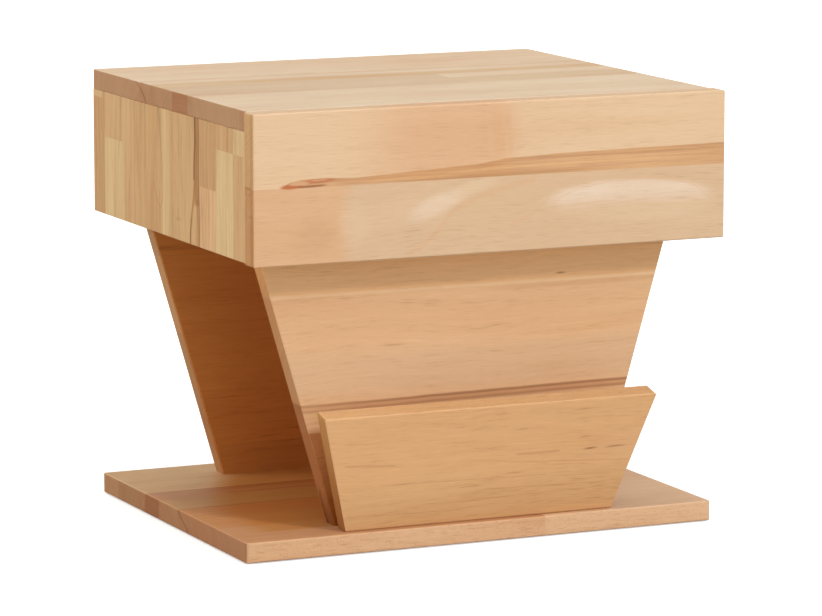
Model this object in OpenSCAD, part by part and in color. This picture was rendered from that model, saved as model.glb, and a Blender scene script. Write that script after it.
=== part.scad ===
// Bedside cabinet in solid beech: a drawer box on a tapered two-panel stand,
// with a leaning magazine pocket in front of the stand and a flat base plate.
// Millimetres. +X is to the right, -Y is the front and +Z is up.
// The origin is the middle of the cabinet's outline, on the floor.

/* [Box] */
// Width of the drawer front and of the base plate
front_w = 450; // [440:2:480]
// Width of the top panel across the two sides
carcass_w = 442; // [432:2:442]
// Depth of the top panel and the sides
carcass_d = 372; // [350:1:400]
// Height of the box, from the underside of the sides to the top
box_h = 131; // [125:1:160]
// Thickness of the boards of the carcass, stand and base
board_t = 18; // [16:1:20]
// Thickness of the drawer front
front_t = 20; // [18:1:22]
// Gap between the closed drawer front and the carcass
parting_gap = 1; // [0.8:0.1:2]
// Distance from the drawer front to the floor panel, for the fingers
finger_gap = 28; // [20:1:30]

/* [Stand] */
// Height of the stand panels
stand_h = 241; // [200:1:300]
// Half width of the stand panels at the base plate
stand_low = 127; // [110:1:130]
// Half width of the stand panels under the box
stand_high = 197.5; // [150:0.5:200]
// Distance from the front of the cabinet to the front stand panel
stand_inset = 56.5; // [56.5:0.5:70]
// Clear space between the front and the rear stand panels
stand_space = 238; // [200:1:245]

/* [Base] */
// Depth of the base plate
base_d = 347; // [340:1:360]
// Distance from the front of the cabinet to the base plate
base_inset = 20; // [16:1:24]
// Height of the glides below the base plate
glide_h = 1; // [0.6:0.1:2]

/* [Magazine pocket] */
// Lean of the pocket front from the vertical
pocket_lean = 14.5; // [10:0.5:14.5]
// Height of the front face's top edge above the base plate
pocket_h = 106; // [80:1:106]
// Half width of the pocket front at the base plate
pocket_low = 129; // [110:0.5:130]
// Sideways growth of the pocket front for each millimetre of height
pocket_flare = 0.296; // [0.2:0.001:0.3]
// Distance from the front of the cabinet to the foot of the pocket front
pocket_inset = 27.5; // [27.5:0.5:29]

/* [Drawer] */
// Height of the drawer's sides
drawer_h = 72; // [60:1:74]
// Depth of the drawer box behind its front
drawer_d = 314; // [306:1:320]
// Thickness of the drawer's sides
drawer_t = 12; // [10:1:14]
// Thickness of the drawer's bottom
bottom_t = 6; // [4:1:8]

/* [Runners] */
// Length of the runners, which is also the drawer's travel
runner_len = 300; // [280:10:300]
// Width of the space that a runner fills between carcass and drawer
runner_space = 12.7; // [12.7:0.1:13]
// Height of the runner's middle above the floor panel
runner_up = 39; // [36:1:42]

/* [Hidden] */

$fn = 48;
tiny = 0.01;
far = 600;

// Arris radii: broken edges at the joints, round edges where a hand goes
joint_r = 1;
arris_r = 1.5;
plan_r = 3.5;
corner_r = 2.5;
pocket_top_r = 1.5;

// Depths from the front plane of the drawer
total_d = front_t + parting_gap + carcass_d;
front_y = -total_d / 2;
front_back_y = front_y + front_t;
carcass_y = front_back_y + parting_gap;
back_y = total_d / 2;
base_y = front_y + base_inset;
front_stand_y = front_y + stand_inset;
rear_stand_y = front_stand_y + board_t + stand_space;
pocket_y = front_y + pocket_inset;
floor_y = front_back_y + finger_gap;
drawer_end_y = front_back_y + drawer_d;

// Heights from the floor
base_top = glide_h + board_t;
box_z = base_top + stand_h;
top_z = box_z + box_h;
side_h = box_h - board_t;
floor_top = box_z + board_t;
runner_z = floor_top + runner_up;
drawer_z = runner_z - 30;

// Widths
inner_w = carcass_w - 2 * board_t;
drawer_w = inner_w - 2 * runner_space;
drawer_inner_w = drawer_w - 2 * drawer_t;

// Fixings
dowel_r = 4;
small_dowel_r = 3;
fit_gap = 0.05;
screw_r = 2;
screw_head_r = 4;
screw_head_h = 2.6;
stand_screw_x = [-90, 0, 90];
pocket_screw_x = [-85, 0, 85];
top_dowel_y = [carcass_y + 45, carcass_y + carcass_d / 2, back_y - 60];
floor_dowel_y = [floor_y + 40, 0, back_y - 45];
floor_dowel_z = box_z + board_t / 2;
back_dowel_z = [floor_top + 25, floor_top + 70];
back_panel_y = back_y - board_t;

// Base glides, let into the base plate
glide_r = 10;
glide_let_in = 3;
glide_x = front_w / 2 - 35;
glide_y = base_d / 2 - 35;
base_mid_y = base_y + base_d / 2;

// Drawer joints: grooves for the bottom and dowels at the corners
groove_d = 5;
bottom_up = 8;
corner_dowel_z = [drawer_z + 26, drawer_z + 56];
front_screw_x = [-120, 120];
front_screw_z = [drawer_z + 22, drawer_z + 56];

// Finger cove along the drawer front's lower back edge
cove_r = 9;
cove_len = 160;

// Telescopic runner: steel channels nested in each other, seen from the end
runner_y = carcass_y + 2;
steel_t = 1.2;
cabinet_half = 22.5;
cabinet_edge = 10;
lip_h = 2;
middle_web = 2.6;
middle_half = 17.9;
middle_edge = 10.4;
member_half = 13.5;
member_edge = 5.5;
outer_ball_r = 1.6;
outer_ball_t = 5.6;
outer_ball_h = 19.65;
inner_ball_r = 1.5;
inner_ball_t = 7.6;
inner_ball_h = 15.1;
cage_t = 0.5;
outer_cage_web = 1.65;
outer_cage_edge = 8.3;
inner_cage_web = 4.4;
inner_cage_edge = 10.6;
ball_gap = 0.06;
ball_rows = 8;
travel = runner_len;
cage_len = runner_len / 2 - 4;
cage_y = runner_y + travel / 4 + 2;
ball_pitch = cage_len / ball_rows;
runner_screw_at = [25, 140, 270];
runner_screw_len = 14;
runner_head_r = 3.2;
drawer_screw_at = [70, 185, 285];
drawer_screw_len = 11;

beech = "burlywood";
beech_dark = "peru";
plywood = "wheat";
steel = "silver";
zinc = "lightgray";
plastic = "gainsboro";

// ---- Outlines and boards ----

// Rectangle with a corner radius of its own for the two sides of its height
module rounded_rect(w, h, r_low, r_high) {
  for (sx = [-1, 1]) {
    translate([sx * (w / 2 - r_low), r_low]) circle(r_low);
    translate([sx * (w / 2 - r_high), h - r_high]) circle(r_high);
  }
  translate([-w / 2, r_low]) square([w, h - r_low - r_high]);
  translate([r_low - w / 2, 0]) square([w - 2 * r_low, r_low + tiny]);
  translate([r_high - w / 2, h - r_high - tiny]) square([w - 2 * r_high, r_high + tiny]);
}

// Board lying flat, centred in plan, with its underside at zero and round arrises
module board(w, d, t, r_under = joint_r, r_face = joint_r, r_plan = joint_r) {
  intersection() {
    translate([0, -d / 2, 0]) linear_extrude(t) rounded_rect(w, d, r_plan, r_plan);
    translate([0, d / 2, 0]) rotate([90, 0, 0]) linear_extrude(d) rounded_rect(w, t, r_under, r_face);
    translate([-w / 2, 0, 0]) rotate([90, 0, 90]) linear_extrude(w) rounded_rect(d, t, r_under, r_face);
  }
}

// Endless slab whose one long edge, at x = 0, is rounded
module edge_slab(t, r, len) {
  linear_extrude(len) {
    translate([-far, 0]) square([far - r, t]);
    translate([-far, r]) square([far, t - 2 * r]);
    translate([-r, r]) circle(r);
    translate([-r, t - r]) circle(r);
  }
}

// Upright board that widens upwards, with round side edges; its front face is at y = 0
module tapered_board(low, high, h, t, r) {
  slant = atan((high - low) / h);
  intersection() {
    translate([-high, 0, 0]) cube([2 * high, t, h]);
    translate([low, 0, 0]) rotate([0, slant, 0]) translate([0, 0, -h]) edge_slab(t, r, 3 * h);
    mirror([1, 0, 0]) translate([low, 0, 0]) rotate([0, slant, 0]) translate([0, 0, -h]) edge_slab(t, r, 3 * h);
  }
}

// ---- Fixings ----

// Countersunk screw with its head's face at zero and its shank going up
module screw(len, head_r = screw_head_r, grow = 0) {
  cylinder(h = screw_head_h + grow, r1 = head_r + grow, r2 = screw_r + grow);
  cylinder(h = len + grow, r = screw_r + grow);
}

// Cross recess in a screw's head
module recess(size) {
  for (turn = [0, 90]) rotate([0, 0, turn]) translate([-size, -0.5, -tiny]) cube([2 * size, 1, 1.4]);
}

// Screw with its recess
module crossed_screw(len, head_r = screw_head_r) {
  difference() {
    screw(len, head_r);
    recess(head_r * 0.6);
  }
}

// Places for the screws that hold the stand panels to the base plate, heads below
module at_stand_base() {
  for (y = [front_stand_y, rear_stand_y], x = stand_screw_x)
    translate([x, y + board_t / 2, glide_h]) children();
}

// Places for the screws that hold the stand panels to the floor panel, heads above
module at_stand_top() {
  for (y = [front_stand_y, rear_stand_y], x = stand_screw_x)
    translate([x * 1.4, y + board_t / 2, floor_top]) mirror([0, 0, 1]) children();
}

// Places for the screws that hold the pocket front to the base plate, heads below
module at_pocket() {
  foot = board_t / cos(pocket_lean);
  for (x = pocket_screw_x) translate([x, pocket_y + foot / 2 - 1, glide_h]) children();
}

// Places for the dowels between the sides and the top panel
module at_top_dowels() {
  for (s = [-1, 1], y = top_dowel_y)
    translate([s * (carcass_w - board_t) / 2, y, top_z - board_t - 18]) children();
}

// Places for the dowels between the sides and the floor panel, pointing inwards
module at_floor_dowels() {
  for (s = [-1, 1], y = floor_dowel_y)
    translate([s * (inner_w / 2 + 12), y, floor_dowel_z]) rotate([0, -90 * s, 0]) children();
}

// Places for the dowels between the sides and the back panel, pointing inwards
module at_back_dowels() {
  for (s = [-1, 1], z = back_dowel_z)
    translate([s * (inner_w / 2 + 12), back_panel_y + board_t / 2, z]) rotate([0, -90 * s, 0]) children();
}

// Places for the drawer's corner dowels, pointing inwards from the sides
module at_drawer_dowels() {
  for (s = [-1, 1], y = [front_back_y + drawer_t / 2, drawer_end_y - drawer_t / 2], z = corner_dowel_z)
    translate([s * (drawer_w / 2 - 3), y, z]) rotate([0, -90 * s, 0]) children();
}

// Places for the screws that hold the drawer front, pointing to the front
module at_front_screws() {
  for (x = front_screw_x, z = front_screw_z)
    translate([x, front_back_y + drawer_t, z]) rotate([90, 0, 0]) children();
}

// Dowel and the hole that it fills
module dowel(r = dowel_r, len = 30) {
  cylinder(h = len, r = r);
}

module dowel_hole(r = dowel_r, len = 30) {
  translate([0, 0, -0.5]) cylinder(h = len + 1, r = r + fit_gap);
}

// ---- Stand and base ----

module base_plate() {
  color(beech) difference() {
    translate([0, base_mid_y, glide_h]) board(front_w, base_d, board_t, arris_r, arris_r, plan_r);
    at_stand_base() screw_hole(60);
    at_pocket() screw_hole(60);
    at_glides() cylinder(h = glide_h + glide_let_in, r = glide_r + fit_gap);
  }
}

// Room for a screw, open towards its head
module screw_hole(len, head_r = screw_head_r) {
  screw(len, head_r, fit_gap);
  translate([0, 0, -1]) cylinder(h = 1 + tiny, r = head_r + fit_gap);
}

module at_glides() {
  for (sx = [-1, 1], sy = [-1, 1]) translate([sx * glide_x, base_mid_y + sy * glide_y, 0]) children();
}

module glides() {
  color(plastic) at_glides() {
    cylinder(h = 0.4, r1 = glide_r - 0.6, r2 = glide_r - 0.2);
    translate([0, 0, 0.4]) cylinder(h = glide_h + glide_let_in - 0.4, r = glide_r - 0.2);
  }
}

module front_stand_panel() {
  color(beech) difference() {
    translate([0, front_stand_y, base_top]) tapered_board(stand_low, stand_high, stand_h, board_t, arris_r);
    at_stand_base() screw(60, grow = fit_gap);
    at_stand_top() screw(50, grow = fit_gap);
  }
}

module rear_stand_panel() {
  color(beech) difference() {
    translate([0, rear_stand_y, base_top]) tapered_board(stand_low, stand_high, stand_h, board_t, arris_r);
    at_stand_base() screw(60, grow = fit_gap);
    at_stand_top() screw(50, grow = fit_gap);
  }
}

module stand_base_screws() {
  color(zinc) at_stand_base() crossed_screw(60);
}

module stand_top_screws() {
  color(zinc) at_stand_top() crossed_screw(50);
}

// ---- Magazine pocket ----

// Outline of the pocket front in its own plane, with round top corners
module pocket_outline(low, grow, len) {
  slant = atan(grow);
  r = corner_r;
  centre_x = low + grow * (len - r) - r / cos(slant);
  side_x = centre_x + r * cos(slant);
  side_z = len - r - r * sin(slant);
  foot = -20;
  foot_x = low + grow * foot;
  polygon([
    [-foot_x, foot], [foot_x, foot], [side_x, side_z], [centre_x, len],
    [-centre_x, len], [-side_x, side_z]
  ]);
  for (s = [-1, 1]) translate([s * centre_x, len - r]) circle(r);
}

// Side edges and top edge of the pocket front, rounded, as three slabs
module pocket_edges(low, grow, len) {
  slant = atan(grow);
  r = arris_r;
  intersection() {
    translate([low, 0, 0]) rotate([0, slant, 0]) translate([0, 0, -len]) edge_slab(board_t, r, 3 * len);
    mirror([1, 0, 0]) translate([low, 0, 0]) rotate([0, slant, 0]) translate([0, 0, -len])
      edge_slab(board_t, r, 3 * len);
    translate([-far / 2, 0, len]) rotate([0, -90, 0]) mirror([0, 0, 1]) edge_slab(board_t, pocket_top_r, far);
  }
}

module pocket_front() {
  len = pocket_h / cos(pocket_lean);
  grow = pocket_flare * cos(pocket_lean);
  color(beech) difference() {
    translate([0, pocket_y, base_top]) intersection() {
      translate([-far / 2, -far / 2, 0]) cube([far, far, far]);
      rotate([pocket_lean, 0, 0]) intersection() {
        translate([0, board_t, 0]) rotate([90, 0, 0]) linear_extrude(board_t) pocket_outline(pocket_low, grow, len);
        pocket_edges(pocket_low, grow, len);
      }
    }
    at_pocket() screw(35, grow = fit_gap);
  }
}

module pocket_screws() {
  color(zinc) at_pocket() crossed_screw(35);
}

// ---- Carcass ----

module floor_panel() {
  color(beech) difference() {
    translate([0, (floor_y + back_y) / 2, box_z]) board(inner_w, back_y - floor_y, board_t);
    at_floor_dowels() dowel_hole();
    at_stand_top() screw_hole(50);
  }
}

// Side board standing on edge, with its outer face at x = -carcass_w / 2
module side_board() {
  translate([-carcass_w / 2, carcass_y + carcass_d / 2, box_z + side_h / 2]) rotate([0, -90, 0])
    translate([0, 0, -board_t]) board(side_h, carcass_d, board_t);
}

module side_panel(side) {
  color(beech) difference() {
    if (side < 0) {
      side_board();
    } else {
      mirror([1, 0, 0]) side_board();
    }
    at_floor_dowels() dowel_hole();
    at_back_dowels() dowel_hole();
    at_top_dowels() dowel_hole();
    at_runner_screws(side) screw(runner_screw_len, runner_head_r, fit_gap);
  }
}

module left_side_panel() {
  side_panel(-1);
}

module right_side_panel() {
  side_panel(1);
}

module back_panel() {
  height = side_h - board_t;
  color(beech) difference() {
    translate([0, back_y, floor_top + height / 2]) rotate([90, 0, 0]) board(inner_w, height, board_t);
    at_back_dowels() dowel_hole();
  }
}

module top_panel() {
  color(beech) difference() {
    translate([0, carcass_y + carcass_d / 2, top_z - board_t])
      board(carcass_w, carcass_d, board_t, joint_r, arris_r, corner_r);
    at_top_dowels() dowel_hole();
  }
}

module floor_dowels() {
  color(beech_dark) at_floor_dowels() dowel();
}

module back_dowels() {
  color(beech_dark) at_back_dowels() dowel();
}

module top_dowels() {
  color(beech_dark) at_top_dowels() dowel();
}

// Soft buttons on the front edges of the sides, for the closing drawer front
module front_bumpers() {
  color(plastic) for (s = [-1, 1], z = [box_z + 20, box_z + side_h - 20])
    translate([s * (carcass_w - board_t) / 2, carcass_y, z]) rotate([90, 0, 0])
      cylinder(h = parting_gap - 0.3, r1 = 4, r2 = 3.4);
}

// ---- Runners ----

// Left runner's own frame: x from the side panel to the drawer, z from its middle
module at_left_runner(y) {
  translate([-inner_w / 2, y, runner_z]) children();
}

module at_runner(side, y) {
  if (side < 0) {
    at_left_runner(y) children();
  } else {
    mirror([1, 0, 0]) at_left_runner(y) children();
  }
}

// Profile pushed along the runner, from its front end to the back
module along(len) {
  translate([0, len, 0]) rotate([90, 0, 0]) linear_extrude(len) children();
}

// Channel that stands on its web at t0 and is open towards t1
module channel(t0, t1, half, wall) {
  web = t1 > t0 ? t0 : t0 - wall;
  left = min(t0, t1);
  translate([web, -half]) square([wall, 2 * half]);
  for (s = [-1, 1]) translate([left, s * (half - wall / 2) - wall / 2]) square([abs(t1 - t0), wall]);
}

// Places for the screws through the cabinet members, heads towards the drawer
module at_runner_screws(side) {
  at_runner(side, runner_y) for (y = runner_screw_at)
    translate([steel_t, y, 0]) rotate([0, -90, 0]) children();
}

// Places for the screws through the drawer members, heads towards the cabinet
module at_drawer_screws(side) {
  at_runner(side, runner_y) for (y = drawer_screw_at)
    translate([runner_space - steel_t, y, 0]) rotate([0, 90, 0]) children();
}

module runner_cabinet(side) {
  color(steel) difference() {
    at_runner(side, runner_y) along(runner_len) {
      channel(0, cabinet_edge, cabinet_half, steel_t);
      for (s = [-1, 1])
        translate([cabinet_edge - steel_t, s * (cabinet_half - (steel_t + lip_h) / 2) - (steel_t + lip_h) / 2])
          square([steel_t, steel_t + lip_h]);
    }
    at_runner_screws(side) screw_hole(runner_screw_len, runner_head_r);
  }
}

module left_runner_cabinet() {
  runner_cabinet(-1);
}

module right_runner_cabinet() {
  runner_cabinet(1);
}

module runner_cabinet_screws() {
  color(zinc) for (side = [-1, 1]) at_runner_screws(side) crossed_screw(runner_screw_len, runner_head_r);
}

module runner_middle(side) {
  color(steel) at_runner(side, runner_y) along(runner_len) channel(middle_web, middle_edge, middle_half, steel_t);
}

module left_runner_middle() {
  runner_middle(-1);
}

module right_runner_middle() {
  runner_middle(1);
}

module runner_drawer(side) {
  color(steel) difference() {
    at_runner(side, runner_y) along(runner_len) channel(runner_space, member_edge, member_half, steel_t);
    at_drawer_screws(side) screw_hole(drawer_screw_len, runner_head_r);
  }
}

module left_runner_drawer() {
  runner_drawer(-1);
}

module right_runner_drawer() {
  runner_drawer(1);
}

module runner_drawer_screws() {
  color(zinc) for (side = [-1, 1]) at_drawer_screws(side) crossed_screw(drawer_screw_len, runner_head_r);
}

// Places for the balls of a cage, in two rows
module at_balls(t, h) {
  for (s = [-1, 1], n = [0 : ball_rows - 1])
    translate([t, (n + 0.5) * ball_pitch, s * h]) children();
}

// Cage: a thin channel with a hole for each ball
module cage(side, web, edge, t, h, r) {
  color(steel) at_runner(side, cage_y) difference() {
    along(cage_len) channel(web, edge, h + cage_t / 2, cage_t);
    at_balls(t, h) translate([0, 0, -1]) cylinder(h = 2, r = r + ball_gap);
  }
}

module balls(side, t, h, r) {
  color(zinc) at_runner(side, cage_y) at_balls(t, h) sphere(r);
}

module left_outer_cage() {
  cage(-1, outer_cage_web, outer_cage_edge, outer_ball_t, outer_ball_h, outer_ball_r);
}

module right_outer_cage() {
  cage(1, outer_cage_web, outer_cage_edge, outer_ball_t, outer_ball_h, outer_ball_r);
}

module left_outer_balls() {
  balls(-1, outer_ball_t, outer_ball_h, outer_ball_r);
}

module right_outer_balls() {
  balls(1, outer_ball_t, outer_ball_h, outer_ball_r);
}

module left_inner_cage() {
  cage(-1, inner_cage_web, inner_cage_edge, inner_ball_t, inner_ball_h, inner_ball_r);
}

module right_inner_cage() {
  cage(1, inner_cage_web, inner_cage_edge, inner_ball_t, inner_ball_h, inner_ball_r);
}

module left_inner_balls() {
  balls(-1, inner_ball_t, inner_ball_h, inner_ball_r);
}

module right_inner_balls() {
  balls(1, inner_ball_t, inner_ball_h, inner_ball_r);
}

// ---- Drawer ----

module drawer_front() {
  color(beech) difference() {
    translate([0, front_back_y, box_z + box_h / 2]) rotate([90, 0, 0])
      board(front_w, box_h, front_t, joint_r, arris_r, corner_r);
    translate([-cove_len / 2, front_back_y, box_z + cove_r / 2]) rotate([0, 90, 0]) cylinder(h = cove_len, r = cove_r);
    at_front_screws() screw(25, grow = fit_gap);
  }
}

// Groove for the drawer's bottom, as a box as large as the bottom
module bottom_groove() {
  translate([-drawer_inner_w / 2 - groove_d, front_back_y + drawer_t - groove_d, drawer_z + bottom_up])
    cube([drawer_inner_w + 2 * groove_d, drawer_d - 2 * drawer_t + 2 * groove_d, bottom_t]);
}

module drawer_side(side) {
  color(beech) difference() {
    translate([side * (drawer_w - drawer_t) / 2, front_back_y + drawer_d / 2, drawer_z + drawer_h / 2])
      rotate([0, -90, 0]) translate([0, 0, -drawer_t / 2]) board(drawer_h, drawer_d, drawer_t);
    bottom_groove();
    at_drawer_dowels() dowel_hole(small_dowel_r, 25);
    at_drawer_screws(side) screw(drawer_screw_len, runner_head_r, fit_gap);
  }
}

module drawer_left_side() {
  drawer_side(-1);
}

module drawer_right_side() {
  drawer_side(1);
}

// Cross board between the drawer's sides, with its back face at y
module cross_board(y) {
  translate([0, y, drawer_z + drawer_h / 2]) rotate([90, 0, 0]) board(drawer_inner_w, drawer_h, drawer_t);
}

module drawer_inner_front() {
  color(beech) difference() {
    cross_board(front_back_y + drawer_t);
    bottom_groove();
    at_drawer_dowels() dowel_hole(small_dowel_r, 25);
    at_front_screws() screw_hole(25);
  }
}

module drawer_back() {
  color(beech) difference() {
    cross_board(drawer_end_y);
    bottom_groove();
    at_drawer_dowels() dowel_hole(small_dowel_r, 25);
  }
}

// Bottom, a little smaller than its grooves all round
module drawer_bottom() {
  slack = 0.3;
  color(plywood) translate([
    slack - drawer_inner_w / 2 - groove_d,
    front_back_y + drawer_t - groove_d + slack,
    drawer_z + bottom_up + slack / 3
  ])
    cube([
      drawer_inner_w + 2 * groove_d - 2 * slack,
      drawer_d - 2 * drawer_t + 2 * groove_d - 2 * slack,
      bottom_t - 2 * slack / 3
    ]);
}

module drawer_dowels() {
  color(beech_dark) at_drawer_dowels() dowel(small_dowel_r, 25);
}

module drawer_front_screws() {
  color(zinc) at_front_screws() crossed_screw(25);
}

// ---- Drawing ----

base_plate();
glides();
front_stand_panel();
rear_stand_panel();
pocket_front();
stand_base_screws();
stand_top_screws();
pocket_screws();
floor_panel();
left_side_panel();
right_side_panel();
back_panel();
top_panel();
floor_dowels();
back_dowels();
top_dowels();
front_bumpers();
left_runner_cabinet();
right_runner_cabinet();
runner_cabinet_screws();
left_runner_middle();
right_runner_middle();
left_outer_cage();
right_outer_cage();
left_outer_balls();
right_outer_balls();
left_inner_cage();
right_inner_cage();
left_inner_balls();
right_inner_balls();
left_runner_drawer();
right_runner_drawer();
runner_drawer_screws();
drawer_front();
drawer_inner_front();
drawer_left_side();
drawer_right_side();
drawer_back();
drawer_bottom();
drawer_dowels();
drawer_front_screws();
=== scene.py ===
"""Looks of the solid beech bedside cabinet: wood of every board, hardware, light and camera."""

import math
import random

import bpy
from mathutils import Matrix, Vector


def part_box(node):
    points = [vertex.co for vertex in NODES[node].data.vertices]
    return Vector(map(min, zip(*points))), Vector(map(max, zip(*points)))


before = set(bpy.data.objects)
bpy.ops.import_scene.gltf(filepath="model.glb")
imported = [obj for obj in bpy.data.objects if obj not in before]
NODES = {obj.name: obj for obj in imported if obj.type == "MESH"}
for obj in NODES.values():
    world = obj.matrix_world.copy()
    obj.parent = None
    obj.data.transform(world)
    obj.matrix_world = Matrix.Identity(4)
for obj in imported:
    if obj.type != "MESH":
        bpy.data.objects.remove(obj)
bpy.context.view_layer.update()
SMOOTH = "SMOOTHSTEP"

# Millimetres in a metre, the boards' thickness, the pocket front's lean in degrees, and the
# thickness of a light and a dark layer of plywood
MM = 1000.0
BOARD = 18.0
POCKET_LEAN = 14.5
LAYER_PAIR = 2.4


# ---- Colours ----


def rgb(r, g, b):
    """Display colour, 0 to 255, as the linear colour that nodes take."""

    def linear(v):
        v /= 255.0
        return v / 12.92 if v <= 0.04045 else ((v + 0.055) / 1.055) ** 2.4

    return (linear(r), linear(g), linear(b), 1.0)


def grey(value):
    """Linear grey, which also carries a number through a colour ramp."""
    return (value, value, value, 1.0)


TONES = {
    "white": rgb(232, 210, 186),
    "cream": rgb(228, 200, 166),
    "pale": rgb(224, 190, 151),
    "straw": rgb(214, 182, 134),
    "honey": rgb(216, 174, 128),
    "apricot": rgb(220, 174, 132),
    "peach": rgb(214, 166, 126),
    "pink": rgb(206, 156, 122),
    "tan": rgb(204, 163, 115),
    "clay": rgb(197, 153, 106),
    "rose": rgb(225, 186, 147),
    "wheat": rgb(225, 185, 136),
    "tawny": rgb(200, 147, 104),
    "amber": rgb(211, 168, 126),
    "gold": rgb(220, 173, 124),
    "dusk": rgb(199, 140, 90),
    "fawn": rgb(206, 168, 120),
    "olive": rgb(208, 168, 122),
    "brown": rgb(178, 128, 84),
    "sienna": rgb(172, 112, 66),
    "rust": rgb(150, 92, 56),
    "umber": rgb(126, 78, 44),
}

# Tints, by which a colour is multiplied: dark and light grain, heartwood, sapwood, end grain
# and glue
SHADE = (0.60, 0.47, 0.36, 1.0)
GLOW = (1.22, 1.28, 1.34, 1.0)
HEART = (0.86, 0.66, 0.50, 1.0)
SAP = (1.04, 1.09, 1.14, 1.0)
ENDS = (0.80, 0.70, 0.64, 1.0)
GLUE = (0.30, 0.16, 0.08, 1.0)

# Floor: half its side in metres, its colour to the light and to the camera, and its own glow
FLOOR_HALF = 20.0
FLOOR_BOUNCE = rgb(186, 184, 180)
FLOOR_SEEN = rgb(246, 246, 245), rgb(250, 250, 249)
FLOOR_GLOW = 0.45

# Sky light: it grows from the horizon to overhead. Suns: azimuth, elevation and spread in
# degrees, and strength. The key is the sharp one, the front and the fill are wide and low.
DOME = {"From Min": 0.1, "From Max": 1.0, "To Min": 0.26, "To Max": 1.0}
SUNS = {
    "key": (20, 30, 7, 0.37),
    "front": (10, 3, 55, 0.48),
    "fill": (-112, 8, 40, 0.58),
}

# Camera: azimuth and elevation in degrees, then metres, and its lens in millimetres. The nudge
# moves it to its right and up without turning it.
CAMERA_PLACE = -24.415, 9.085
CAMERA_DISTANCE = 4.185
CAMERA_AIM = Vector((0.0, -0.0215, 0.201))
CAMERA_NUDGE = 0.0004, -0.0148
CAMERA_LENS = 203.53


# ---- Node graphs ----


class Graph:
    """Short names for making and linking the nodes of one material."""

    def __init__(self, name):
        self.material = bpy.data.materials.new(name)
        self.material.use_nodes = True
        self.tree = self.material.node_tree
        self.shader = self.tree.nodes["Principled BSDF"]

    def put(self, socket, value):
        if isinstance(value, bpy.types.NodeSocket):
            self.tree.links.new(value, socket)
        elif value is not None:
            socket.default_value = value

    def node(self, kind, *values, **settings):
        made = self.tree.nodes.new("ShaderNode" + kind)
        for key, value in settings.items():
            setattr(made, key, value)
        for socket, value in zip(made.inputs, values):
            self.put(socket, value)
        return made

    def math(self, operation, a, b=None):
        return self.node("Math", a, b, operation=operation).outputs[0]

    def add(self, *values):
        total = values[0]
        for value in values[1:]:
            total = self.math("ADD", total, value)
        return total

    def sub(self, a, b):
        return self.math("SUBTRACT", a, b)

    def mul(self, *values):
        total = values[0]
        for value in values[1:]:
            total = self.math("MULTIPLY", total, value)
        return total

    def size(self, value):
        return self.math("ABSOLUTE", value)

    def step(self, value, low, high, to_low=0.0, to_high=1.0):
        """Smooth change from to_low to to_high as value goes from low to high."""
        limits = low, high, to_low, to_high
        return self.node("MapRange", value, *limits, interpolation_type=SMOOTH).outputs[0]

    def between(self, value, low, high, soft):
        """1 from low to high, 0 outside, with edges of soft millimetres."""
        rise = self.step(value, low - soft, low + soft)
        return self.mul(rise, self.step(value, high - soft, high + soft, 1.0, 0.0))

    def vector(self, x, y, z=0.0):
        return self.node("CombineXYZ", x, y, z).outputs[0]

    def mix(self, share, a, b, blend="MIX"):
        made = self.node("Mix", data_type="RGBA", blend_type=blend)
        self.put(made.inputs[0], share)
        self.put(made.inputs[6], a)
        self.put(made.inputs[7], b)
        return made.outputs[2]

    def tint(self, share, colour, tint):
        """Colour times tint, by share."""
        return self.mix(share, colour, tint, "MULTIPLY")

    def first(self, colour):
        """One number from a grey colour."""
        return self.node("SeparateColor", colour).outputs[0]

    def ramp(self, value, stops, interpolation="LINEAR"):
        made = self.node("ValToRGB", value)
        ramp = made.color_ramp
        ramp.interpolation = interpolation
        ramp.elements.remove(ramp.elements[-1])
        ramp.elements[0].position = stops[0][0]
        ramp.elements[0].color = stops[0][1]
        for position, colour in stops[1:]:
            ramp.elements.new(position).color = colour
        return made.outputs["Color"]

    def curve(self, along, points):
        """A value that follows points (along, value), all in millimetres."""
        start, stop = points[0][0], points[-1][0]
        low = min(v for _, v in points)
        span = max(v for _, v in points) - low or 1.0
        where = self.mul(self.sub(along, start), 1.0 / (stop - start))
        stops = [((a - start) / (stop - start), grey((v - low) / span)) for a, v in points]
        return self.add(self.mul(self.first(self.ramp(where, stops)), span), low)

    def noise(self, vector, scale=1.0, detail=3.0, roughness=0.55):
        made = self.node("TexNoise")
        values = {"Vector": vector, "Scale": scale, "Detail": detail, "Roughness": roughness}
        for name, value in values.items():
            self.put(made.inputs[name], value)
        return made.outputs["Fac"]

    def cells(self, vector):
        """Distance from the nearest of many scattered points, and that point's chance value."""
        made = self.node("TexVoronoi")
        self.put(made.inputs["Vector"], vector)
        self.put(made.inputs["Scale"], 1.0)
        return made.outputs["Distance"], self.first(made.outputs["Color"])

    def place(self, at=None):
        """Object position, or at, in millimetres, and its x, y and z."""
        if at is None:
            at = self.node("TexCoord").outputs["Object"]
        scale = self.node("VectorMath", at, operation="SCALE")
        scale.inputs["Scale"].default_value = MM
        return scale.outputs[0], *self.node("SeparateXYZ", scale.outputs[0]).outputs

    def bump(self, height, strength, distance):
        made = self.node("Bump")
        for name, value in {"Strength": strength, "Distance": distance, "Height": height}.items():
            self.put(made.inputs[name], value)
        self.put(self.shader.inputs["Normal"], made.outputs["Normal"])

    def finish(self, colour, roughness, **fixed):
        self.put(self.shader.inputs["Base Color"], colour)
        self.put(self.shader.inputs["Roughness"], roughness)
        for name, value in fixed.items():
            self.put(self.shader.inputs[name.replace("_", " ")], value)
        return self.material


def dress(node, material):
    """Give a CAD node its material."""
    for slot in NODES[node].material_slots:
        slot.material = material


# ---- Beech ----


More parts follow.
